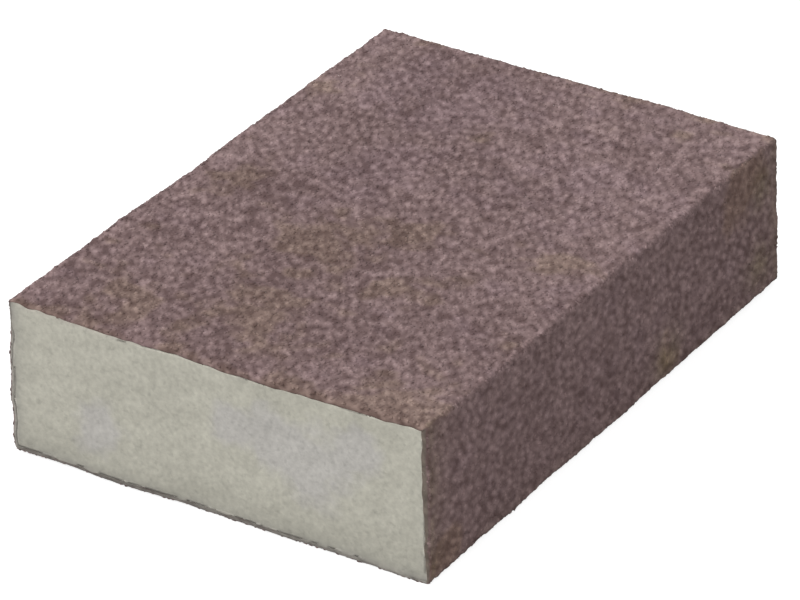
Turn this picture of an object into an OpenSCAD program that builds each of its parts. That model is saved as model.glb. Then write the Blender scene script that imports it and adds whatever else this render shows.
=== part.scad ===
// Sanding sponge: a block of fine-celled foam with an abrasive coat on its four long sides.
// The bar is coated all the way round and then cut to length, so the two ends are bare foam
// and show the coat as a thin rim. Length runs along Y, width along X, height along Z, and
// the origin is the middle of the face that the block lies on.

/* [Block] */
// Length between the two bare ends
block_length = 100; // [80:1:130]
// Width of the two wide faces, over the coat
block_width = 70; // [50:1:100]
// Height from one wide face to the other, over the coat
block_height = 25; // [15:1:40]

/* [Foam] */
// Radius of the foam's four long edges
foam_edge_radius = 0.3; // [0.2:0.1:3]

/* [Abrasive coat] */
// Thickness of the coat, from the foam to the tips of the grains
coat_thickness = 0.6; // [0.4:0.1:1.5]

/* [Quality] */
// Segments in each full circle
circle_segments = 64; // [32:8:128]

/* [Hidden] */
// The foam fills the sleeve, and the sleeve keeps one thickness round the long edges.
foam_width = block_width - 2 * coat_thickness;
foam_height = block_height - 2 * coat_thickness;
coat_edge_radius = foam_edge_radius + coat_thickness;
foam_color = [0.74, 0.73, 0.69];
coat_color = [0.50, 0.42, 0.41];

// A rectangle round the origin with quarter-circle corners.
module rounded_rectangle(width, height, radius) {
    square([width - 2 * radius, height], center = true);
    square([width, height - 2 * radius], center = true);
    for (x = [-1, 1], y = [-1, 1])
        translate([x * (width / 2 - radius), y * (height / 2 - radius)])
            circle(r = radius, $fn = circle_segments);
}

// Stands a flat section up across the block, runs it along the whole length and lifts it
// so that the coated section rests at Z = 0.
module along_block() {
    translate([0, 0, block_height / 2])
        rotate([90, 0, 0])
            linear_extrude(height = block_length, center = true)
                children();
}

// The foam, cut off square at both ends.
module foam_block() {
    color(foam_color)
        along_block()
            rounded_rectangle(foam_width, foam_height, foam_edge_radius);
}

// The coat of resin and grain: one sleeve, bonded to the foam on four sides and open at both ends.
module abrasive_coat() {
    color(coat_color)
        along_block()
            difference() {
                rounded_rectangle(block_width, block_height, coat_edge_radius);
                rounded_rectangle(foam_width, foam_height, foam_edge_radius);
            }
}

foam_block();
abrasive_coat();
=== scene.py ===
# A sanding sponge: a bar of fine foam in a sleeve of bonded grain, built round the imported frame.
import math

import bpy
import numpy as np
from mathutils import Matrix, Vector


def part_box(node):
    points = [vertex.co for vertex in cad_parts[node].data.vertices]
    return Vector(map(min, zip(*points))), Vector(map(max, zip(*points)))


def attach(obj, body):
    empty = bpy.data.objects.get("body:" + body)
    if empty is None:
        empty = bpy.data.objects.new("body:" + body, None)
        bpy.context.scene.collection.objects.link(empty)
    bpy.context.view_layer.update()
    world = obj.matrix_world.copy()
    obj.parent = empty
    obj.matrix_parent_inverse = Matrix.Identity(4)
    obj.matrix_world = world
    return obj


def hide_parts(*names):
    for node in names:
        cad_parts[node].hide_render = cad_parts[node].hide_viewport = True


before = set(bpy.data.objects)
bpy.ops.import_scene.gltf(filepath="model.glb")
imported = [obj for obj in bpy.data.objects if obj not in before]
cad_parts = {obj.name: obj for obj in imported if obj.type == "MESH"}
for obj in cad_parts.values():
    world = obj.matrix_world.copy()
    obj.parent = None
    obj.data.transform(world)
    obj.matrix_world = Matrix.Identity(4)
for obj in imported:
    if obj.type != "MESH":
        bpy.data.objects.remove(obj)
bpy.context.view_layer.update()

MM = 0.001
TINY = 1e-12    # in place of a length of 0 that something is divided by

# ---------------------------------------------------------------- sizes, from the frame

FOAM_LOW, FOAM_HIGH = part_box("foam_block")
COAT_LOW, COAT_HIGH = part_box("abrasive_coat")
CENTRE = np.array((COAT_LOW + COAT_HIGH) / 2)
HALF_SIZE = np.array((COAT_HIGH - COAT_LOW) / 2)
HALF_LENGTH = float(HALF_SIZE[1])
FOAM_HALF_WIDTH = (FOAM_HIGH.x - FOAM_LOW.x) / 2
FOAM_HALF_HEIGHT = (FOAM_HIGH.z - FOAM_LOW.z) / 2
COAT_THICKNESS = FOAM_LOW.x - COAT_LOW.x

# ---------------------------------------------------------------- sizes, of what is finer

FOAM_EDGE_RADIUS = 0.3 * MM
CORNER_STEPS = 3            # grid lines across each rounded corner of the foam
SECTION_PITCH = 0.38 * MM   # between grid lines across the block's section
ROW_PITCH = 0.6 * MM        # between rows of the coat's outer face, along the block
RESIN_DEPTH = 0.16 * MM     # from the CAD coat's outer face down to the resin between the grains
FLAT_BEVEL = 0.30 * MM      # how far the coat's cut edge is rounded over, on the top and bottom
SIDE_BEVEL = 0.36 * MM      # the same, on the two long sides
BEVEL_STEPS = 3             # rows round that edge
RIM_STEPS = 2               # rows from there in to the foam
HIDDEN_ROWS = 14            # along the faces that no one sees, between foam and coat
FLOOR_GIVE = 0.06 * MM      # what comes this near to the floor is pressed flatter

# How far each corner of the soft block is off square, in millimetres: along X, and up. A corner is
# named by its side (-1 left, 1 right), end (-1 front, 1 back) and level (-1 bottom, 1 top).
OFF_SQUARE = {
    (1, -1, 1): (0.2, 0.2),
    (1, 1, 1): (-0.4, -0.35),
    (-1, -1, -1): (-0.2, 0.15),
    (1, -1, -1): (0.15, 0.0),
    (1, 1, -1): (0.45, 0.25),
}

# Soft dents and bulges: the place on the block, the push there, and how far it reaches, in
# millimetres. A place is measured from the middle of the block, here and in the lists below.
DENTS = [
    ((-35, -50, 8), (0.20, 0, 0), 2.5),
    ((-35, -50, 3), (-0.25, 0, 0), 2.5),
    ((-35, -50, -3), (-0.15, 0, 0), 2.5),
    ((-35, -50, -7), (0.30, 0, 0), 2.5),
    ((-35, -5, 12), (0.25, 0, -0.1), 8),
    ((-35, -18, 12), (-0.12, 0, 0), 6),
    ((35, -50, 12), (-0.3, 0, 0.3), 5),
    ((-35, -50, -12), (0.25, 0, 0.2), 2.5),
]

# Where the coat runs thicker (below 0) or thinner along its cut edge: the place, how far the seam
# moves outwards there, and how far that reaches, in millimetres.
SEAM_PULLS = [
    ((-31, -50, 13), 0.22, 7),
    ((14, -50, 13), -0.30, 24),
    ((35, -50, 4), -0.40, 11),
    ((-35, -50, -3), -0.20, 10),
    ((0, -50, -13), -0.18, 40),
    ((27, -50, -13), 0.30, 9),
]

# Patches of the cut foam that have turned lilac: the place, and how far it reaches, in millimetres.
LILAC_PATCHES = [
    ((2, -50, 3), 3.5),
    ((9, -50, 4), 4.5),
    ((16, -50, 0), 6),
    ((24, -50, 6), 4.5),
    ((-20, -50, -4), 5),
    ((-12, 50, 3), 8),
    ((-4, 50, 5), 6),
    ((20, 50, -6), 5),
]

# Patches of the grit: the place, how warm (above 0) or lilac (below) it is there, how much paler
# (above 0) or darker, and how far that reaches, in millimetres. One at FACE_LEVEL up or down lies
# on the top or bottom, and any other on a long side.
FACE_LEVEL = 12
GRIT_PATCHES = [
    ((-5, -14, 12), 0.75, -0.13, 8),
    ((-2, -35, 12), 0.75, -0.06, 9),
    ((-25, -3, 12), 0.65, -0.12, 6),
    ((-21, -41, 12), 0.60, 0.02, 7),
    ((13, -19, 12), 0.80, 0.03, 5),
    ((4, -4, 12), 0.50, -0.13, 6),
    ((28, 0, 12), 0.85, 0.07, 4),
    ((28, -45, 12), 0.60, 0.19, 8),
    ((-32, 30, 12), 0.80, 0.30, 4),
    ((-3, 27, 12), 0.40, -0.02, 4),
    ((-13, 38, 12), -0.6, -0.13, 13),
    ((-11, 10, 12), -0.5, -0.14, 9),
    ((19, 21, 12), -0.5, 0.02, 10),
    ((33, 46, 12), 0.1, 0.12, 10),
    ((35, 39, 9), 1.0, -0.09, 6),
    ((35, -46, -9), 0.9, -0.02, 4),
    ((35, 16, -9), 0.5, 0.10, 4),
    ((12, 20, -12), 0.7, 0.0, 8),
    ((-14, -24, -12), 0.7, -0.04, 9),
    ((-35, -20, 4), 0.6, 0.0, 6),
]

# Olive stains on the coat's right side: the place, and how far it reaches, in millimetres.
OLIVE_STAINS = [
    ((35, 45, 6), 3.5),
    ((35, 44, -7), 4),
    ((35, 16, -9), 4),
]


# ---------------------------------------------------------------- fields that shape the surfaces

# Waves, each as its height and length in millimetres and its seed: in the block's shape along X, Y
# and Z, in the seam between foam and coat, in the resin between the grains, and in the cut foam.
SHAPE_WAVES = [
    [(0.07, 16, 1), (0.02, 5, 2)],
    [(0.12, 18, 3), (0.04, 5, 4)],
    [(0.05, 16, 5), (0.01, 5, 6)],
]
SEAM_WAVES = [(0.07, 2.6, 7), (0.04, 7, 8)]
RESIN_WAVES = [(0.03, 1.5, 9), (0.025, 3.4, 10)]
FOAM_WAVES = [(0.02, 7, 11)]
# Pits where cells of the foam were cut open: how wide in millimetres, how rare, how deep as a share
# of PIT_DEPTH, and the seed.
PITS = [(1.1, 0.4, 1.0, 12), (1.9, 0.0, 0.3, 13)]
PIT_DEPTH = 0.035 * MM
WAVE_SPREAD = (0.75, 1.4)   # the single waves of a field, as shares of its wavelength


def waves(points, wavelength, seed, count=28):
    """A smooth random field at these points: spread about 1, and bumps about a wavelength apart."""
    rng = np.random.default_rng(seed)
    direction = rng.normal(size=(count, 3))
    direction /= np.linalg.norm(direction, axis=1, keepdims=True)
    rate = 2 * math.pi / (wavelength * rng.uniform(*WAVE_SPREAD, count))
    phase = rng.uniform(0, 2 * math.pi, count)
    return math.sqrt(2 / count) * np.cos(points @ (direction * rate[:, None]).T + phase).sum(1)


def wavy(points, terms):
    """The sum of these waves at these points."""
    return sum(height * MM * waves(points, length * MM, seed) for height, length, seed in terms)


def reach_of(points, place, reach):
    """How strongly a soft push at this place is felt at each point, from 0 to 1."""
    distance = np.linalg.norm(points - CENTRE - np.array(place) * MM, axis=1)
    return np.exp(-(distance / (reach * MM)) ** 2)


def warp(points):
    """The give of a soft block: corners off square, wavy faces, and cuts that aren't quite flat."""
    unit = (points - CENTRE) / HALF_SIZE
    moved = points.copy()
    for (side, end, level), (across, up) in OFF_SQUARE.items():
        share = (1 + side * unit[:, 0]) * (1 + end * unit[:, 1]) * (1 + level * unit[:, 2]) / 8
        moved[:, 0] += share * across * MM
        moved[:, 2] += share * up * MM
    for place, push, reach in DENTS:
        moved += reach_of(points, place, reach)[:, None] * np.array(push) * MM
    for axis, terms in enumerate(SHAPE_WAVES):
        moved[:, axis] += wavy(points, terms)
    # What would sink into the floor is pressed flat on it.
    sunk = np.minimum(moved[:, 2], FLOOR_GIVE)
    moved[:, 2] += FLOOR_GIVE * np.exp(sunk / FLOOR_GIVE - 1) - sunk
    return moved


def seam_shift(points):
    """How far the line between foam and coat wanders outwards."""
    wander = wavy(points, SEAM_WAVES)
    for place, pull, reach in SEAM_PULLS:
        wander += reach_of(points, place, reach) * pull * MM
    return wander


def resin_relief(points):
    """How far the resin between the grains stands up."""
    return wavy(points, RESIN_WAVES)


def foam_relief(points):
    """How far the cut foam stands up: a soft swell, and shallow pits where cells were cut open."""
    pits = sum(
        depth * np.minimum(waves(points, width * MM, seed) + rarity, 0)
        for width, rarity, depth, seed in PITS
    )
    return wavy(points, FOAM_WAVES) + PIT_DEPTH * pits


# ---------------------------------------------------------------- the block's section

def grid_lines(half, pitch):
    """Lines from -half to half: fine ones across each rounded corner, and even ones between."""
    fine = np.linspace(0, FOAM_EDGE_RADIUS, CORNER_STEPS + 1)
    straight = half - FOAM_EDGE_RADIUS
    even = np.linspace(-straight, straight, round(2 * straight / pitch) + 1)
    return np.concatenate([fine[:-1] - half, even, half - fine[-2::-1]])


def past_corner(x, z):
    """How far a point lies past the centre of the nearest corner's arc, along X and up.

    Each is signed, and 0 beside a straight.
    """
    across = np.sign(x) * np.maximum(np.abs(x) - (FOAM_HALF_WIDTH - FOAM_EDGE_RADIUS), 0)
    up = np.sign(z) * np.maximum(np.abs(z) - (FOAM_HALF_HEIGHT - FOAM_EDGE_RADIUS), 0)
    return across, up


def with_round_corners(x, z):
    """The points of a square-cornered grid, moved so that its corners are round."""
    across, up = past_corner(x, z)
    square = np.maximum(np.abs(across), np.abs(up))
    scale = square / np.maximum(np.hypot(across, up), TINY)
    return x - across + across * scale, z - up + up * scale


GRID_X = grid_lines(FOAM_HALF_WIDTH, SECTION_PITCH)
GRID_Z = grid_lines(FOAM_HALF_HEIGHT, SECTION_PITCH)
NX, NZ = len(GRID_X) - 1, len(GRID_Z) - 1
# The grid's outline, once round from the lower left corner: along the bottom, right, top and left.
RING_I = np.concatenate([np.arange(NX), np.full(NZ, NX), np.arange(NX, 0, -1), np.zeros(NZ, int)])
RING_J = np.concatenate([np.zeros(NX, int), np.arange(NZ), np.full(NX, NZ), np.arange(NZ, 0, -1)])
RING_COUNT = len(RING_I)
RING = np.stack(with_round_corners(GRID_X[RING_I], GRID_Z[RING_J]), 1)
RING_OUT = np.stack(past_corner(GRID_X[RING_I], GRID_Z[RING_J]), 1)
RING_OUT /= np.linalg.norm(RING_OUT, axis=1, keepdims=True)
# Where each of the four faces begins and ends on the outline.
FACES = {
    "bottom": (0, NX),
    "right": (NX, NX + NZ),
    "top": (NX + NZ, 2 * NX + NZ),
    "left": (2 * NX + NZ, RING_COUNT),
}


def in_block(section, y):
    """Points in the frame from (x, z) offsets from the section's middle, and y from the block's."""
    return np.stack([section[:, 0] + CENTRE[0], y + CENTRE[1], section[:, 1] + CENTRE[2]], 1)


# ---------------------------------------------------------------- meshes

def make_mesh(name, points, faces, uv=None, smooth=True):
    """A piece from arrays: its points, and its faces as rows of point numbers.

    uv is a place on the map for each corner of each face.
    """
    mesh = bpy.data.meshes.new(name)
    width = faces.shape[1]
    mesh.vertices.add(len(points))
    mesh.vertices.foreach_set("co", points.astype(np.float32).ravel())
    mesh.loops.add(faces.size)
    mesh.loops.foreach_set("vertex_index", faces.astype(np.int32).ravel())
    mesh.polygons.add(len(faces))
    mesh.polygons.foreach_set("loop_start", np.arange(0, faces.size, width, dtype=np.int32))
    mesh.polygons.foreach_set("use_smooth", np.full(len(faces), smooth))
    mesh.update(calc_edges=True)
    if uv is not None:
        layer = mesh.uv_layers.new(name="OFBake")
        layer.uv.foreach_set("vector", uv.astype(np.float32).ravel())
    mesh.validate()
    piece = bpy.data.objects.new(name, mesh)
    bpy.context.scene.collection.objects.link(piece)
    return piece


def add_value(piece, name, values):
    """Gives each point of the piece a number that its material reads."""
    attribute = piece.data.attributes.new(name, "FLOAT", "POINT")
    attribute.data.foreach_set("value", values.astype(np.float32))


# ---------------------------------------------------------------- stains and painted highlight

# Painted highlight along the top's long edges, where light catches the rounded shoulders: how
# wide, and how much paler on the left and right.
SHOULDER_HIGHLIGHT_WIDTH = 1.2 * MM
LEFT_SHOULDER_HIGHLIGHT = 0.14
RIGHT_SHOULDER_HIGHLIGHT = 0.06
# Along the cuts, the top is warmer and the long sides are darker: how much, and how far in.
CUT_WARMTH = 0.5
CUT_WARMTH_WIDTH = 2.5 * MM
CUT_DARKNESS = 0.06
CUT_DARKNESS_WIDTH = 1.2 * MM
# The stain on the right side: how far it reaches from the cuts and from the foot, how strong it is
# at the foot, and how far from a cut it is at its full strength.
CUT_STAIN_WIDTH = 2.0 * MM
FOOT_STAIN_WIDTH = 1.2 * MM
FOOT_STAIN = 0.5
STAIN_START = 0.5 * MM


def side_edge(points, out):
    """How stained the coat's right side is: just behind the cuts, above the foot and in places."""
    from_cut = HALF_LENGTH - np.abs(points[:, 1] - CENTRE[1])
    from_foot = points[:, 2] - COAT_LOW.z
    at_foot = FOOT_STAIN * np.exp(-from_foot / FOOT_STAIN_WIDTH)
    near = np.maximum(np.exp(-from_cut / CUT_STAIN_WIDTH), at_foot)
    for place, reach in OLIVE_STAINS:
        near = np.maximum(near, reach_of(points, place, reach))
    return near * np.maximum(out[:, 0], 0) * np.clip(from_cut / STAIN_START, 0, 1)


def add_patches(piece, points, out):
    """Gives the grit its patches, a painted highlight on its shoulders and what changes along the
    cuts.
    """
    across = points[:, 0] - CENTRE[0]
    faces_up = np.maximum(out[:, 1], 0)
    # Painted highlight where light catches the rounded shoulders of the top.
    shoulder_highlight = np.exp((np.abs(across) - HALF_SIZE[0]) / SHOULDER_HIGHLIGHT_WIDTH) * faces_up
    paleness_and_highlight = shoulder_highlight * np.where(across < 0, LEFT_SHOULDER_HIGHLIGHT, RIGHT_SHOULDER_HIGHLIGHT)
    from_cut = HALF_LENGTH - np.abs(points[:, 1] - CENTRE[1])
    warmth = CUT_WARMTH * np.exp(-from_cut / CUT_WARMTH_WIDTH) * faces_up
    paleness_and_highlight -= CUT_DARKNESS * np.exp(-from_cut / CUT_DARKNESS_WIDTH) * np.abs(out[:, 0])
    for place, warm, pale, reach in GRIT_PATCHES:
        facing = out[:, 1] if abs(place[2]) == FACE_LEVEL else out[:, 0]
        near = reach_of(points, place, reach) * np.abs(facing)
        warmth += near * warm
        paleness_and_highlight += near * pale
    add_value(piece, "warmth", warmth)
    add_value(piece, "paleness_and_highlight", paleness_and_highlight)


# ---------------------------------------------------------------- the coat's resin

# Where the coat's outer face begins and ends on the map, along the block, and where its hidden
# face begins.
MAP_OUTER = (0.03, 0.97)
MAP_HIDDEN = 0.99
# The bare cut edge fades into the grit this far behind the cut.
CUT_EDGE_WIDTH = 0.2 * MM
# Painted shade along the seam beside the foam: how wide, and how strong it is away from the foot.
SEAM_SHADE_WIDTH = 0.25 * MM
SEAM_SHADE_LEAST = 0.3
# The coat counts as broad, as on the top and bottom, where it faces this much up or down, and fades
# in over this much more.
BROAD_FROM = 0.65
BROAD_FADE = 0.1
# The right end of the foot's rim is paler: how much, where that starts between the middle (0) and
# the corner (1), and how much further on it is in full.
FOOT_END_PALENESS = 0.8
FOOT_END_START = 0.15
FOOT_END_FADE = 0.65


def bevel_at(out):
    """How far the coat's cut edge is rounded over, where its outer face looks this way."""
    return FLAT_BEVEL + (SIDE_BEVEL - FLAT_BEVEL) * out[:, 0] ** 2


def rim_paleness(points, out):
    """How pale the coat's cut edge is: most up the left side, and at the right end of the foot."""
    across = (points[:, 0] - CENTRE[0]) / HALF_SIZE[0]
    along_foot = np.clip((across - FOOT_END_START) / FOOT_END_FADE, 0, 1)
    foot_end = FOOT_END_PALENESS * along_foot * np.maximum(-out[:, 1], 0)
    return np.maximum(foot_end, np.maximum(-out[:, 0], 0))


def make_coat():
    """The sleeve of resin, as one closed wall: outer face, rounded cut edges and hidden face."""
    bevel = bevel_at(RING_OUT)
    turn = np.linspace(0, math.pi / 2, BEVEL_STEPS + 1)[:, None]
    bevel_y = HALF_LENGTH - bevel * (1 - np.sin(turn))
    bevel_depth = RESIN_DEPTH + bevel * (1 - np.cos(turn))
    step = np.linspace(0, 1, RIM_STEPS + 1)[1:, None]
    rim_depth = bevel_depth[-1] + (COAT_THICKNESS - bevel_depth[-1]) * step
    rim_y = np.full_like(rim_depth, HALF_LENGTH)
    rows = round(2 * HALF_LENGTH / ROW_PITCH)
    outer_y = np.linspace(-1, 1, rows + 1)[1:-1, None] * (HALF_LENGTH - bevel)
    outer_depth = np.full_like(outer_y, RESIN_DEPTH)
    inner_y = np.linspace(1, -1, HIDDEN_ROWS + 1)[1:-1, None] * np.full(RING_COUNT, HALF_LENGTH)
    inner_depth = np.full_like(inner_y, COAT_THICKNESS)
    # Once round the wall, from the foam at the front cut.
    y = np.concatenate([-rim_y, -bevel_y[::-1], outer_y, bevel_y, rim_y, inner_y])
    depth = np.concatenate([
        rim_depth[::-1], bevel_depth[::-1], outer_depth, bevel_depth, rim_depth, inner_depth,
    ])
    edge = RIM_STEPS + BEVEL_STEPS
    v = np.concatenate([
        np.linspace(0, MAP_OUTER[0], edge + 1),
        np.linspace(*MAP_OUTER, rows + 1)[1:-1],
        np.linspace(MAP_OUTER[1], MAP_HIDDEN, edge + 1),
        np.linspace(MAP_HIDDEN, 1, HIDDEN_ROWS + 1)[1:],
    ])

    rows = len(y)
    y, height = y.ravel(), (COAT_THICKNESS - depth).ravel()
    out = np.tile(RING_OUT, (rows, 1))
    points = in_block(np.tile(RING, (rows, 1)) + out * height[:, None], y)
    outness = height / (COAT_THICKNESS - RESIN_DEPTH)
    shift = outness * resin_relief(points) + (1 - outness) * seam_shift(points)
    points[:, 0] += out[:, 0] * shift
    points[:, 2] += out[:, 1] * shift
    i = np.tile(np.arange(RING_COUNT), rows)
    j = np.repeat(np.arange(rows), RING_COUNT)
    corners = [(i, j), (i, j + 1), (i + 1, j + 1), (i + 1, j)]
    faces = np.stack([b % rows * RING_COUNT + a % RING_COUNT for a, b in corners], 1)
    uv = np.stack([np.stack([a / RING_COUNT, v[b]], 1) for a, b in corners], 1).reshape(-1, 2)
    piece = make_mesh("abrasive_coat_resin", warp(points), faces, uv)

    pale = rim_paleness(points, out)
    seam_shade_strength = np.maximum(np.maximum(-out[:, 1], 0) - pale, SEAM_SHADE_LEAST)
    from_cut = HALF_LENGTH - np.abs(y)
    add_value(piece, "cut_edge", np.clip(1 - from_cut / CUT_EDGE_WIDTH, 0, 1))
    add_value(piece, "side_edge", side_edge(points, out))
    add_value(piece, "faces_right", np.maximum(out[:, 0], 0))
    add_value(piece, "faces_up", np.maximum(out[:, 1], 0))
    add_value(piece, "rim_pale", pale)
    # Painted shade along the seam between coat and foam, strongest at the foot.
    add_value(piece, "seam_shade", (1 - height / SEAM_SHADE_WIDTH) * seam_shade_strength)
    add_value(piece, "broad", np.clip((np.abs(out[:, 1]) - BROAD_FROM) / BROAD_FADE, 0, 1))
    add_patches(piece, points, out)
    return piece


# ---------------------------------------------------------------- the foam

# Painted shade on the cut foam beside the coat: how deep it is at the coat, and how far in it
# reaches.
FOOT_SHADE = (0.58, 0.95 * MM)
LEFT_SHADE = (0.58, 1.15 * MM)
RIGHT_SHADE = (0.25, 0.60 * MM)
SEAM_REACH = 0.8 * MM     # how far in from its edge the cut foam follows the seam
SEAM_DIP = 0.03 * MM      # how far in from the cut the foam lies, at its edge
# How high each cut end is on the map, and where on it the back one and the hidden walls begin.
MAP_CUT = 0.34
MAP_BACK = 0.36
MAP_WALLS = 0.72


def edge_shade(x, z):
    """How much painted shade the cut foam has beside the coat: most along the foot and the left."""
    sides = [
        (FOAM_HALF_HEIGHT + z, *FOOT_SHADE),
        (FOAM_HALF_WIDTH + x, *LEFT_SHADE),
        (FOAM_HALF_WIDTH - x, *RIGHT_SHADE),
    ]
    return np.max([depth * np.exp(-inwards / reach) for inwards, depth, reach in sides], axis=0)


def make_foam():
    """The foam: two cut ends of fine grid, and the hidden sides that the coat is bonded to."""
    x, z = (a.ravel() for a in np.meshgrid(GRID_X, GRID_Z, indexing="ij"))
    x, z = with_round_corners(x, z)
    cap = len(x)
    edge = np.minimum(FOAM_HALF_WIDTH - np.abs(x), FOAM_HALF_HEIGHT - np.abs(z))
    near_edge = np.exp(-edge / SEAM_REACH)
    wall_y = np.linspace(-HALF_LENGTH, HALF_LENGTH, HIDDEN_ROWS + 1)[1:-1]
    across, up = past_corner(x, z)
    past = np.maximum(np.hypot(across, up), TINY)
    parts = []
    for end in (-1, 1):
        flat = in_block(np.stack([x, z], 1), np.full(cap, end * HALF_LENGTH))
        shift = near_edge * seam_shift(flat)
        flat[:, 0] += across / past * shift
        flat[:, 2] += up / past * shift
        flat[:, 1] += end * (foam_relief(flat) * (1 - near_edge) - SEAM_DIP * near_edge)
        parts.append(flat)
    for row in wall_y:
        wall = in_block(RING, np.full(RING_COUNT, row))
        shift = seam_shift(wall)
        wall[:, 0] += RING_OUT[:, 0] * shift
        wall[:, 2] += RING_OUT[:, 1] * shift
        parts.append(wall)
    points = np.concatenate(parts)

    i, j = (a.ravel() for a in np.meshgrid(np.arange(NX), np.arange(NZ), indexing="ij"))
    corners = [(i, j), (i + 1, j), (i + 1, j + 1), (i, j + 1)]
    front = np.stack([a * (NZ + 1) + b for a, b in corners], 1)
    back = front[:, ::-1] + cap
    rings = [RING_I * (NZ + 1) + RING_J]
    rings += [2 * cap + k * RING_COUNT + np.arange(RING_COUNT) for k in range(len(wall_y))]
    rings.append(rings[0] + cap)
    walls = [np.stack([a, b, np.roll(b, -1), np.roll(a, -1)], 1) for a, b in zip(rings, rings[1:])]
    faces = np.concatenate([front, back, *walls])

    cut_v = (z / FOAM_HALF_HEIGHT / 2 + 0.5) * MAP_CUT
    cut_uv = np.stack([x / FOAM_HALF_WIDTH / 2 + 0.5, cut_v], 1)
    uv = [cut_uv[front.ravel()], cut_uv[back.ravel() - cap] + [0, MAP_BACK]]
    step = np.arange(RING_COUNT) / RING_COUNT
    sideways = np.stack([step, step, step + 1 / RING_COUNT, step + 1 / RING_COUNT], 1)
    levels = np.linspace(MAP_WALLS, 1, len(walls) + 1)
    for low, high in zip(levels, levels[1:]):
        rise = np.tile([low, high, high, low], (RING_COUNT, 1))
        uv.append(np.stack([sideways, rise], 2).reshape(-1, 2))
    piece = make_mesh("foam_block_cut", warp(points), faces, np.concatenate(uv))

    on_walls = len(points) - 2 * cap
    lilac = sum(reach_of(points, place, reach) for place, reach in LILAC_PATCHES)
    add_value(piece, "edge", np.concatenate([near_edge, near_edge, np.ones(on_walls)]))
    add_value(piece, "lilac", lilac)
    # Painted shade on the cut foam beside the coat.
    add_value(piece, "edge_shade", np.concatenate([edge_shade(x, z), edge_shade(x, z), np.zeros(on_walls)]))
    return piece


# ---------------------------------------------------------------- the grains

GRAIN_SPACING = 0.72 * MM
GRAIN_ROOT = 0.07 * MM                  # how deep a grain sits in the resin
GRAIN_REACH = HALF_LENGTH + 0.04 * MM   # the furthest it may reach from the block's middle
MOST_LEAN = math.radians(50)            # of a grain at the cut, away from the face it stands on
# A grain is a blunt crystal: five corners in the resin and three at its tip, at these turns round
# it, in degrees.
ROOT_TURNS = [0, 72, 144, 216, 288]
TIP_TURNS = [0, 144, 252]
# Its faces, by the numbers of those corners: round its sides, over its tip, and under its root.
GRAIN_FACES = [
    (0, 1, 5), (1, 6, 5), (1, 2, 6), (2, 3, 6), (3, 7, 6), (3, 4, 7), (4, 5, 7), (4, 0, 5),
    (5, 6, 7), (0, 4, 3), (0, 3, 2), (0, 2, 1),
]
# What each grain's shape is drawn from. Its size and height are in grain spacings, its width is a
# share of its size, and its tip's size a share of its root's.
GRAIN_SIZE = (0.45, 0.75)
GRAIN_WIDTH = (0.65, 1.0)
GRAIN_HEIGHT = (0.04, 0.12)
GRAIN_TIP = (0.45, 0.75)
# How uneven its corners are: in their turn, in radians, their distance and the tip's height.
CORNER_TURN = (-0.35, 0.35)
CORNER_REACH = (0.8, 1.2)
TIP_RISE = (0.7, 1.2)
BEVEL_SHARE = 0.8    # how much of the resin's fall at the cut edge a grain follows
LONG_EDGE = 0.15     # they are lowest where the larger part of their normal is 1 less this
EDGE_WEAR = 0.85     # how much lower the grains are round the edges
CUT_SHRINK = 0.4     # how much smaller they are at the cut
MAP_FILL = 0.98      # how much of the map they take up


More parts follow.
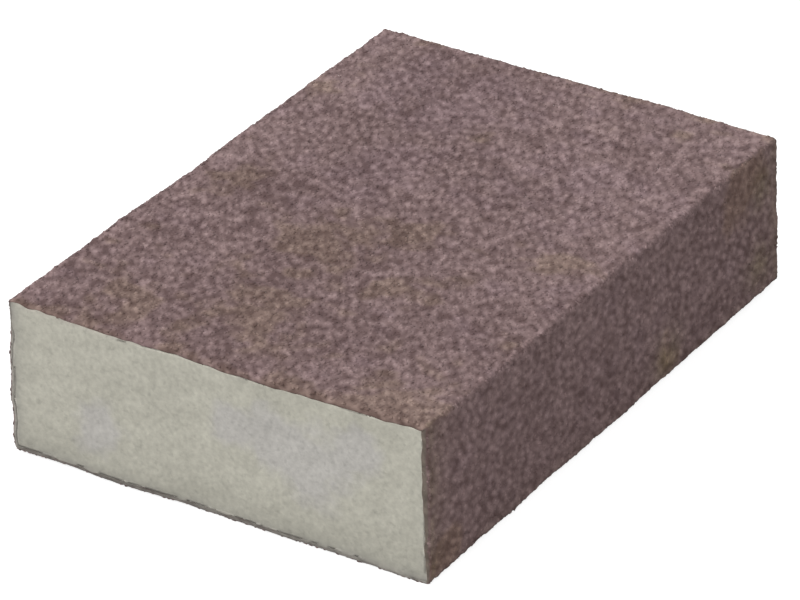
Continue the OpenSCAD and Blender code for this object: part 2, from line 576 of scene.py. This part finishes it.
def make_grains(face, seed):
    """The grains on one face and half of each long edge beside it, sunk into the resin."""
    rng = np.random.default_rng(seed)
    first, last = FACES[face]
    ring = RING[np.arange(first, last + 1) % RING_COUNT]
    out = RING_OUT[np.arange(first, last + 1) % RING_COUNT]
    top = ring + out * COAT_THICKNESS
    travel = np.append(0, np.cumsum(np.linalg.norm(np.diff(top, axis=0), axis=1)))
    across = round(travel[-1] / GRAIN_SPACING)
    along = round(2 * HALF_LENGTH / GRAIN_SPACING)
    a, b = (k.ravel() for k in np.meshgrid(np.arange(across), np.arange(along), indexing="ij"))
    count = len(a)
    s = (a + rng.uniform(0, 1, count)) / across * travel[-1]
    y = ((b + rng.uniform(0, 1, count)) / along * 2 - 1) * HALF_LENGTH

    def at(values):
        """The outline's values, taken where each grain is on it."""
        return np.stack([np.interp(s, travel, values[:, k]) for k in range(2)], 1)

    normal = at(out)
    normal /= np.linalg.norm(normal, axis=1, keepdims=True)
    base = at(ring) + normal * (COAT_THICKNESS - RESIN_DEPTH)
    bevel = bevel_at(normal)
    over = np.clip((np.abs(y) - HALF_LENGTH) / bevel + 1, 0, 1)
    lift = resin_relief(in_block(base, y)) - bevel * (1 - np.sqrt(1 - over ** 2)) * BEVEL_SHARE
    centre = in_block(base + normal * lift[:, None], y)
    # Each grain stands square on the resin, so it leans outwards where the cut edge is rounded.
    upright, outwards = np.cos(over * MOST_LEAN), np.sign(y) * np.sin(over * MOST_LEAN)
    rising = np.stack([normal[:, 0] * upright, outwards, normal[:, 1] * upright], 1)
    lengthwise = np.stack([-normal[:, 0] * outwards, upright, -normal[:, 1] * outwards], 1)
    sideways = np.stack([-normal[:, 1], np.zeros(count), normal[:, 0]], 1)

    roots, tips = len(ROOT_TURNS), len(TIP_TURNS)
    size = GRAIN_SPACING * rng.uniform(*GRAIN_SIZE, count)
    width = rng.uniform(*GRAIN_WIDTH, count)
    height = GRAIN_SPACING * rng.uniform(*GRAIN_HEIGHT, count)
    # They lie flatter round the edges, all but those on top.
    corner = np.clip((1 - np.abs(normal).max(1)) / LONG_EDGE, 0, 1)
    worn = np.maximum(corner, np.minimum(2 * over, 1)) * (1 - np.maximum(normal[:, 1], 0))
    height *= 1 - EDGE_WEAR * worn
    size *= 1 - CUT_SHRINK * over
    tip = rng.uniform(*GRAIN_TIP, count)
    twist = rng.uniform(0, 2 * math.pi, count)
    angle = np.radians(ROOT_TURNS + TIP_TURNS) + rng.uniform(*CORNER_TURN, (count, roots + tips))
    radius = size[:, None] * rng.uniform(*CORNER_REACH, (count, roots + tips))
    radius[:, roots:] *= tip[:, None]
    rise = np.full((count, roots + tips), -GRAIN_ROOT)
    rise[:, roots:] = height[:, None] * rng.uniform(*TIP_RISE, (count, tips))
    along_grain = radius * np.cos(angle)
    over_grain = radius * np.sin(angle) * width[:, None]
    p = along_grain * np.cos(twist)[:, None] - over_grain * np.sin(twist)[:, None]
    q = along_grain * np.sin(twist)[:, None] + over_grain * np.cos(twist)[:, None]
    points = centre[:, None] + p[..., None] * lengthwise[:, None]
    points += q[..., None] * sideways[:, None] + rise[..., None] * rising[:, None]
    points = points.reshape(-1, 3)
    points[:, 1] = np.clip(points[:, 1], CENTRE[1] - GRAIN_REACH, CENTRE[1] + GRAIN_REACH)
    faces = np.arange(count)[:, None, None] * (roots + tips) + np.array(GRAIN_FACES)
    faces = faces.reshape(-1, 3)
    u = ((s[:, None] - q) / travel[-1] - 0.5) * MAP_FILL + 0.5
    v = (y[:, None] + p) / (2 * HALF_LENGTH) * MAP_FILL + 0.5
    uv = np.stack([u.ravel(), v.ravel()], 1)[faces.ravel()]
    piece = make_mesh("grains_" + face, warp(points), faces, uv)

    add_value(piece, "tone", np.repeat(rng.uniform(0, 1, count), roots + tips))
    facing = np.repeat(normal, roots + tips, axis=0)
    add_value(piece, "side_edge", side_edge(points, facing))
    add_value(piece, "broad", np.full(len(points), face in ("bottom", "top")))
    add_patches(piece, points, facing)
    return piece


# ---------------------------------------------------------------- materials

class Nodes:
    """A material's nodes, made and linked in one call each."""

    def __init__(self, name):
        self.material = bpy.data.materials.new(name)
        self.material.use_nodes = True
        self.tree = self.material.node_tree
        self.shader = self.tree.nodes["Principled BSDF"]

    def add(self, kind, inputs=None, **settings):
        """A node of this kind, with its settings, and its inputs by name or number."""
        made = self.tree.nodes.new("ShaderNode" + kind)
        for key, value in settings.items():
            setattr(made, key, value)
        for key, value in (inputs or {}).items():
            self.put(made.inputs[key], value)
        return made

    def put(self, socket, value):
        """Links this input to another node's output, or gives it a plain value."""
        if isinstance(value, bpy.types.NodeSocket):
            self.tree.links.new(value, socket)
        else:
            socket.default_value = value

    def position(self):
        """The place in the block."""
        return self.add("TexCoord").outputs["Object"]

    def drawn_position(self, turn, stretch):
        """The same, for a pattern that is drawn out by this much along the turned Y axis."""
        inputs = {"Vector": self.position(), "Rotation": turn, "Scale": (1, stretch, 1)}
        return self.add("Mapping", inputs, vector_type="TEXTURE").outputs["Vector"]

    def noise(self, size, detail, place=None):
        """A cloudy pattern, from 0 to 1, with clouds about this size."""
        where = place or self.position()
        inputs = {"Vector": where, "Scale": 1 / size, "Detail": detail, "Roughness": 0.5}
        return self.add("TexNoise", inputs).outputs["Fac"]

    def from_cell(self, size, place):
        """How far it is to the middle of the nearest of many cells of this size, in cells."""
        inputs = {"Vector": place, "Scale": 1 / size}
        return self.add("TexVoronoi", inputs, feature="F1").outputs["Distance"]

    def ramp(self, value, low, high, start=0.0, end=1.0):
        """value, taken from the range low to high into the range start to end."""
        ranges = {"From Min": low, "From Max": high, "To Min": start, "To Max": end}
        return self.add("MapRange", {"Value": value, **ranges}).outputs["Result"]

    def cloud(self, size, detail, *ranges):
        """Clouds about this size, with the noise taken from the one range into the other."""
        return self.ramp(self.noise(size, detail), *ranges)

    def maths(self, operation, a, b):
        """The result of this operation on a and b."""
        return self.add("Math", {0: a, 1: b}, operation=operation).outputs[0]

    def mix(self, share, a, b, blend="MIX"):
        """Colour a mixed with colour b by this share. The node's colours are inputs 6 and 7."""
        inputs = {0: share, 6: a, 7: b}
        return self.add("Mix", inputs, data_type="RGBA", blend_type=blend).outputs[2]

    def tint(self, a, b):
        """Colour a times colour or number b."""
        return self.mix(1.0, a, b, "MULTIPLY")

    def read(self, name):
        """The number that add_value gave to each point."""
        return self.add("Attribute", attribute_name=name).outputs["Fac"]

    def bump(self, height, strength, distance, normal=None):
        """A normal for a surface that stands up by this height, over the normal given."""
        inputs = {"Height": height, "Strength": strength, "Distance": distance}
        if normal is not None:
            inputs["Normal"] = normal
        return self.add("Bump", inputs).outputs["Normal"]

    def finish(self, **inputs):
        """Sets the shader's inputs, by name with _ for a space, and returns the material."""
        for key, value in inputs.items():
            self.put(self.shader.inputs[key.replace("_", " ")], value)
        return self.material


def rgb(red, green, blue):
    return (red, green, blue, 1.0)


GRIT_DARK = rgb(0.133, 0.081, 0.079)
GRIT_LIGHT = rgb(0.376, 0.264, 0.260)
# Tints, over the two above: for the grit's warm patches on the top and bottom and on the sides, for
# its lilac ones, and for the stains on the coat's right side.
KHAKI = rgb(0.99, 1.00, 0.87)
UMBER = rgb(1.02, 0.995, 0.86)
LILAC = rgb(1.00, 1.00, 1.045)
OLIVE = rgb(0.92, 1.00, 0.78)
# The painted shade at the coat's seam with the foam, and the coat's cut edge: on the right,
# elsewhere, and where it is pale.
SEAM_SHADE_COLOUR = rgb(0.085, 0.058, 0.052)
CUT_OLIVE = rgb(0.172, 0.140, 0.115)
CUT_GREY = rgb(0.225, 0.210, 0.188)
CUT_PALE = rgb(0.310, 0.292, 0.260)
# The foam: its own colour, its lilac patches, its edges, and its painted shade beside the coat.
FOAM_GREEN = rgb(0.500, 0.484, 0.412)
FOAM_LILAC = rgb(0.494, 0.475, 0.443)
FOAM_CREAM = rgb(0.560, 0.510, 0.450)
FOAM_SHADE = rgb(0.195, 0.188, 0.178)

# The way the clumps of grit are drawn out from the block's length, and by how much: on the top and
# bottom they lie aslant, and on the long sides they lean.
BROAD_DRAW = ((0, 0, math.radians(32)), 1.65)
SIDE_DRAW = ((math.radians(-34), 0, 0), 1.65)
# Clouds in the grit: how wide, in millimetres, and how much they darken or lighten it.
BROAD_CLOUDS = [(0.93, 0.51), (2.8, 0.12), (8.0, 0.13)]
SIDE_CLOUDS = [(0.89, 0.435), (2.8, 0.11), (8.0, 0.05)]
# Pale spots in it, which are single grains and pairs: how far apart, how much paler than usual they
# are and how much darker it is between them, and where it is palest and darkest, in cells from the
# middle of a spot.
SPOT = 1.04 * MM
BROAD_SPOTS = 0.32
SIDE_SPOTS = 0.26
SPOT_RANGE = (0.05, 0.95)
# Painted light and shade: how much darker the top and bottom are at the front, and paler at the
# back.
LENGTH_LIGHT = 0.08
# The power that the shade is raised to, which darkens its middle.
SHADE_POWER = 1.3
# How warm a patch is where its warm tint begins and where that is full, and the same for lilac.
WARM_RANGE = (0.25, 0.6)
LILAC_RANGE = (0, -0.5)
SIDE_RAGGED = 0.6            # how ragged the patches are on the sides, as a share of those on top
GRAIN_SHADES = (0.38, 0.62)  # the darkest and the lightest grain
GRIT_ROUGHNESS = 0.85
GRIT_SPECULAR = 0.3
# Clumps of grain, as wide as two grains, and the finer tooth over them, as its width and depth.
CLUMP = 0.84 * MM
CLUMP_HEIGHT = 0.10 * MM
GRAIN_TOOTH = (0.12 * MM, 0.02 * MM)
RESIN_TOOTH = (0.25 * MM, 0.04 * MM)
TOOTH_STRENGTH = 0.05
# Where the bare cut edge and the painted shade along the seam start to show and where they are
# full, as values of their attributes, and how much of the seam shade's colour that is.
CUT_EDGE_RANGE = (0.3, 0.9)
SEAM_SHADE_RANGE = (0.1, 1.0)
SEAM_SHADE_SHARE = 0.85

# Clouds of noise, for Nodes.cloud: how wide, how detailed, the range of the noise that counts, and
# what that is taken into.
PATCH_RAGGED = (4.5 * MM, 1.0, 0, 1, -0.9, 0.9)
STAIN_RAGGED = (2.5 * MM, 1.0, 0.25, 0.5, 0.4, 1.0)
RESIN_SHADES = (0.3 * MM, 1.0, 0, 1, 0.35, 0.55)
CUT_MOTTLE = (1.2 * MM, 2.0, 0.3, 0.7, 0.7, 1.3)
SEAM_SHADE_RAGGED = (1.5 * MM, 1.0, 0.35, 0.65, 0.3, 1.0)
LILAC_RAGGED = (4 * MM, 2.0, 0, 1, -0.6, 0.6)
EDGE_SHADE_RAGGED = (2.0 * MM, 2.0, 0.3, 0.7, 0.6, 1.3)
# Painted shade in the foam's cut-open cells, as darker spots.
FOAM_PIT_SHADE = (0.8 * MM, 1.0, 0.62, 0.72, 1.0, 0.90)
# Clouds in the foam: how wide, in millimetres, and how much they darken or lighten it.
FOAM_CLOUDS = [(0.72, 0.1875), (1.3, 0.09), (2.4, 0.03)]
# How lilac a patch is where its colour begins and where it is full.
FOAM_LILAC_RANGE = (0.35, 0.75)
# The foam's edges are creamier: where that starts, as a value of "edge", and how much at the coat.
CREAM_FROM = 0.35
CREAM_SHARE = 0.6
# The cut foam is duller towards the foot: up to what height, and how bright at the foot and above.
FOOT_FADE_HEIGHT = 8 * MM
FOOT_FADE = (0.87, 1.01)
# The foam's cells and its finer tooth, as bumps: how wide, how strong and how deep.
FOAM_CELLS = (0.32 * MM, 0.35, 0.05 * MM)
FOAM_TOOTH = (0.15 * MM, 0.3, 0.04 * MM)
FOAM_ROUGHNESS = 0.9


def clouded(n, shade, clouds, spots, place):
    """shade, darker and lighter in clouds and spots."""
    for size, depth in clouds:
        cloud = n.noise(size * MM, detail=0.0, place=place)
        shade = n.maths("ADD", shade, n.ramp(cloud, 0, 1, -depth, depth))
    return n.maths("ADD", shade, n.ramp(n.from_cell(SPOT, place), *SPOT_RANGE, spots, -spots))


def grit_colour(n, shade):
    """The colour of the grit where it is this bright, from 0 to 1: clouded, and tinted in patches.

    On the top and bottom the patches are more ragged, and painted light makes it a little paler
    towards the back.
    """
    # Paler and darker patches of grit, with the painted highlight on the top's shoulders.
    shade = n.maths("ADD", shade, n.read("paleness_and_highlight"))
    # Painted light: the top and bottom paler towards the back.
    along = n.add("SeparateXYZ", {"Vector": n.position()}).outputs["Y"]
    length_light = n.ramp(along, -HALF_LENGTH, HALF_LENGTH, -LENGTH_LIGHT, LENGTH_LIGHT)
    lit_shade = n.maths("ADD", shade, length_light)
    broad_shade = clouded(n, lit_shade, BROAD_CLOUDS, BROAD_SPOTS, n.drawn_position(*BROAD_DRAW))
    side_shade = clouded(n, shade, SIDE_CLOUDS, SIDE_SPOTS, n.drawn_position(*SIDE_DRAW))
    shade = n.ramp(n.read("broad"), 0, 1, side_shade, broad_shade)
    shade = n.maths("POWER", n.ramp(shade, 0, 1), SHADE_POWER)
    colour = n.mix(shade, GRIT_DARK, GRIT_LIGHT)
    how_ragged = n.ramp(n.read("broad"), 0, 1, SIDE_RAGGED, 1.0)
    ragged = n.maths("MULTIPLY", n.cloud(*PATCH_RAGGED), how_ragged)
    warmth = n.maths("ADD", n.read("warmth"), ragged)
    warm_tint = n.mix(n.read("broad"), UMBER, KHAKI)
    colour = n.mix(n.ramp(warmth, *WARM_RANGE), colour, n.tint(colour, warm_tint))
    colour = n.mix(n.ramp(warmth, *LILAC_RANGE), colour, n.tint(colour, LILAC))
    stain = n.maths("MULTIPLY", n.read("side_edge"), n.cloud(*STAIN_RAGGED))
    return n.mix(stain, colour, n.tint(colour, OLIVE))


def grit_bump(n, width, depth):
    """Clumps of grain, with a finer tooth of this width and depth over them."""
    broad_clumps = n.noise(CLUMP, detail=0.0, place=n.drawn_position(*BROAD_DRAW))
    side_clumps = n.noise(CLUMP, detail=0.0, place=n.drawn_position(*SIDE_DRAW))
    clumps = n.ramp(n.read("broad"), 0, 1, side_clumps, broad_clumps)
    clumped = n.bump(clumps, 1.0, CLUMP_HEIGHT)
    return n.bump(n.noise(width, detail=2.0), TOOTH_STRENGTH, depth, clumped)


def finish_grit(n, colour, tooth):
    """Ends the grains' or the resin's material, which differ in colour and tooth only."""
    return n.finish(
        Base_Color=colour,
        Roughness=GRIT_ROUGHNESS,
        Specular_IOR_Level=GRIT_SPECULAR,
        Normal=grit_bump(n, *tooth),
    )


def grain_material():
    """Grit, with a shade of its own for each grain."""
    n = Nodes("grain")
    shade = n.ramp(n.read("tone"), 0, 1, *GRAIN_SHADES)
    return finish_grit(n, grit_colour(n, shade), GRAIN_TOOTH)


def resin_material():
    """Grit on the faces, a mottled bare cut edge, and a ragged painted shade along the seam beside
    the foam.
    """
    n = Nodes("resin")
    cut = n.mix(n.read("rim_pale"), CUT_GREY, CUT_PALE)
    cut = n.mix(n.read("faces_right"), cut, CUT_OLIVE)
    cut = n.tint(cut, n.cloud(*CUT_MOTTLE))
    cut_edge = n.ramp(n.read("cut_edge"), *CUT_EDGE_RANGE)
    bare = n.maths("MULTIPLY", cut_edge, n.ramp(n.read("faces_up"), 0, 1, 1, 0))
    colour = n.mix(bare, grit_colour(n, n.cloud(*RESIN_SHADES)), cut)
    # Painted shade along the seam beside the foam.
    seam_shade = n.ramp(n.read("seam_shade"), *SEAM_SHADE_RANGE, 0, SEAM_SHADE_SHARE)
    seam_shade = n.maths("MULTIPLY", seam_shade, n.cloud(*SEAM_SHADE_RAGGED))
    return finish_grit(n, n.mix(seam_shade, colour, SEAM_SHADE_COLOUR), RESIN_TOOTH)


def foam_material():
    """Fine pale foam: clouded and pitted, with painted shade in its pits, lilac in patches, and
    painted shade beside the coat.
    """
    n = Nodes("foam")
    patch = n.maths("ADD", n.read("lilac"), n.cloud(*LILAC_RAGGED))
    colour = n.mix(n.ramp(patch, *FOAM_LILAC_RANGE), FOAM_GREEN, FOAM_LILAC)
    cream = n.ramp(n.read("edge"), CREAM_FROM, 1.0, 0, CREAM_SHARE)
    colour = n.mix(cream, colour, FOAM_CREAM)
    for size, depth in FOAM_CLOUDS:
        cloud = n.ramp(n.noise(size * MM, detail=1.0), 0, 1, 1 - depth, 1 + depth)
        colour = n.tint(colour, cloud)
    # Painted shade in the foam's pits.
    colour = n.tint(colour, n.cloud(*FOAM_PIT_SHADE))
    up = n.add("SeparateXYZ", {"Vector": n.position()}).outputs["Z"]
    colour = n.tint(colour, n.ramp(up, 0, FOOT_FADE_HEIGHT, *FOOT_FADE))
    # Painted shade on the cut foam beside the coat.
    shaded = n.maths("MULTIPLY", n.read("edge_shade"), n.cloud(*EDGE_SHADE_RAGGED))
    colour = n.mix(shaded, colour, FOAM_SHADE)
    cell, *cell_bump = FOAM_CELLS
    tooth, *tooth_bump = FOAM_TOOTH
    bump = n.bump(n.from_cell(cell, n.position()), *cell_bump)
    bump = n.bump(n.noise(tooth, detail=2.0), *tooth_bump, bump)
    return n.finish(Base_Color=colour, Roughness=FOAM_ROUGHNESS, Normal=bump)


# ---------------------------------------------------------------- the object

foam = make_foam()
foam.data.materials.append(foam_material())
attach(foam, "root")
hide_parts("foam_block")

coat = make_coat()
coat.data.materials.append(resin_material())
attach(coat, "root")
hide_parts("abrasive_coat")

grain = grain_material()
for seed, face in enumerate(FACES, 100):
    grains = make_grains(face, seed)
    grains.data.materials.append(grain)
    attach(grains, "root")


# ---------------------------------------------------------------- floor, light and camera

FLOOR_HALF = 5.0     # metres from the block to the floor's edge
FLOOR_GREY = 0.5
FLOOR_GLOW = 0.82    # added where the camera sees the floor, so that it shows white
SKY_LIGHT = 0.52     # from all round, where the camera doesn't see it

# The lamps: where each is, how wide it is, in metres, and its watts.
LAMPS = {
    "key": ((-1.4, -0.45, 1.1), 0.5, 19.6),
    "front": ((0.1, -1.5, 0.4), 0.8, 5.1),
    "right": ((1.4, -0.5, 0.25), 0.8, 2.4),
    "back": ((-0.2, 1.5, 0.3), 0.8, 3.5),
}

# The camera looks along the photograph's view: how far it is turned from the block's end, raised
# and rolled, in degrees, and how far away it is, in metres.
CAMERA_TURN = 32.15
CAMERA_RISE = 29.41
CAMERA_ROLL = -0.53
CAMERA_DISTANCE = 0.775
CAMERA_LENS = 238.9      # millimetres, on a sensor this wide
CAMERA_SENSOR = 36
CAMERA_CLIP = (0.05, 20)
CAMERA_SLIDE = (-0.67 * MM, -1.51 * MM)  # to the right and up, to frame the block as shown


def make_floor():
    """A wide pale floor: white to the camera, with the object's shadow on it."""
    n = Nodes("floor")
    n.tree.nodes.remove(n.shader)
    grey = rgb(FLOOR_GREY, FLOOR_GREY, FLOOR_GREY)
    diffuse = n.add("BsdfDiffuse", {"Color": grey}).outputs[0]
    glow = n.add("Emission", {"Color": rgb(1, 1, 1), "Strength": FLOOR_GLOW}).outputs[0]
    lifted = n.add("AddShader", {0: diffuse, 1: glow}).outputs[0]
    camera_ray = n.add("LightPath").outputs["Is Camera Ray"]
    shown = n.add("MixShader", {0: camera_ray, 1: diffuse, 2: lifted}).outputs[0]
    n.put(n.tree.nodes["Material Output"].inputs["Surface"], shown)
    points = np.array([(-1, -1, 0), (1, -1, 0), (1, 1, 0), (-1, 1, 0)]) * FLOOR_HALF
    floor = make_mesh("floor", points, np.array([[0, 1, 2, 3]]), smooth=False)
    floor.data.materials.append(n.material)


def make_world():
    """Even pale light from all round, and white where the camera sees past the floor."""
    world = bpy.data.worlds.new("studio")
    bpy.context.scene.world = world
    world.use_nodes = True
    nodes, links = world.node_tree.nodes, world.node_tree.links
    nodes.clear()
    ray = nodes.new("ShaderNodeLightPath")
    mix = nodes.new("ShaderNodeMixShader")
    out = nodes.new("ShaderNodeOutputWorld")
    links.new(ray.outputs["Is Camera Ray"], mix.inputs[0])
    for place, strength in ((1, SKY_LIGHT), (2, 1.0)):
        sky = nodes.new("ShaderNodeBackground")
        sky.inputs["Color"].default_value = rgb(1, 1, 1)
        sky.inputs["Strength"].default_value = strength
        links.new(sky.outputs[0], mix.inputs[place])
    links.new(mix.outputs[0], out.inputs["Surface"])


def make_lamp(name, place, size, watts):
    """A square lamp of this size, which faces the object."""
    light = bpy.data.lights.new(name, "AREA")
    light.size = size
    light.energy = watts
    lamp = bpy.data.objects.new(name, light)
    lamp.location = place
    lamp.rotation_euler = (Vector(CENTRE) - Vector(place)).to_track_quat("-Z", "Y").to_euler()
    bpy.context.scene.collection.objects.link(lamp)


def make_camera():
    """The scene's camera, framed as the photograph is."""
    turn, rise, roll = (math.radians(x) for x in (CAMERA_TURN, CAMERA_RISE, CAMERA_ROLL))
    level = math.cos(rise)
    back = Vector((math.sin(turn) * level, -math.cos(turn) * level, math.sin(rise)))
    aside = Vector((math.cos(turn), math.sin(turn), 0))
    right = math.cos(roll) * aside + math.sin(roll) * back.cross(aside)
    up = back.cross(right)
    place = Vector(CENTRE) + back * CAMERA_DISTANCE
    place += right * CAMERA_SLIDE[0]
    place += up * CAMERA_SLIDE[1]
    data = bpy.data.cameras.new("camera")
    data.lens = CAMERA_LENS
    data.sensor_width = CAMERA_SENSOR
    data.clip_start, data.clip_end = CAMERA_CLIP
    camera = bpy.data.objects.new("camera", data)
    turned = Matrix((right, up, back)).transposed()
    camera.matrix_world = Matrix.Translation(place) @ turned.to_4x4()
    bpy.context.scene.collection.objects.link(camera)
    bpy.context.scene.camera = camera


make_floor()
make_world()
for name, (place, size, watts) in LAMPS.items():
    make_lamp(name, place, size, watts)
make_camera()
bpy.context.scene.view_settings.view_transform = "Standard"
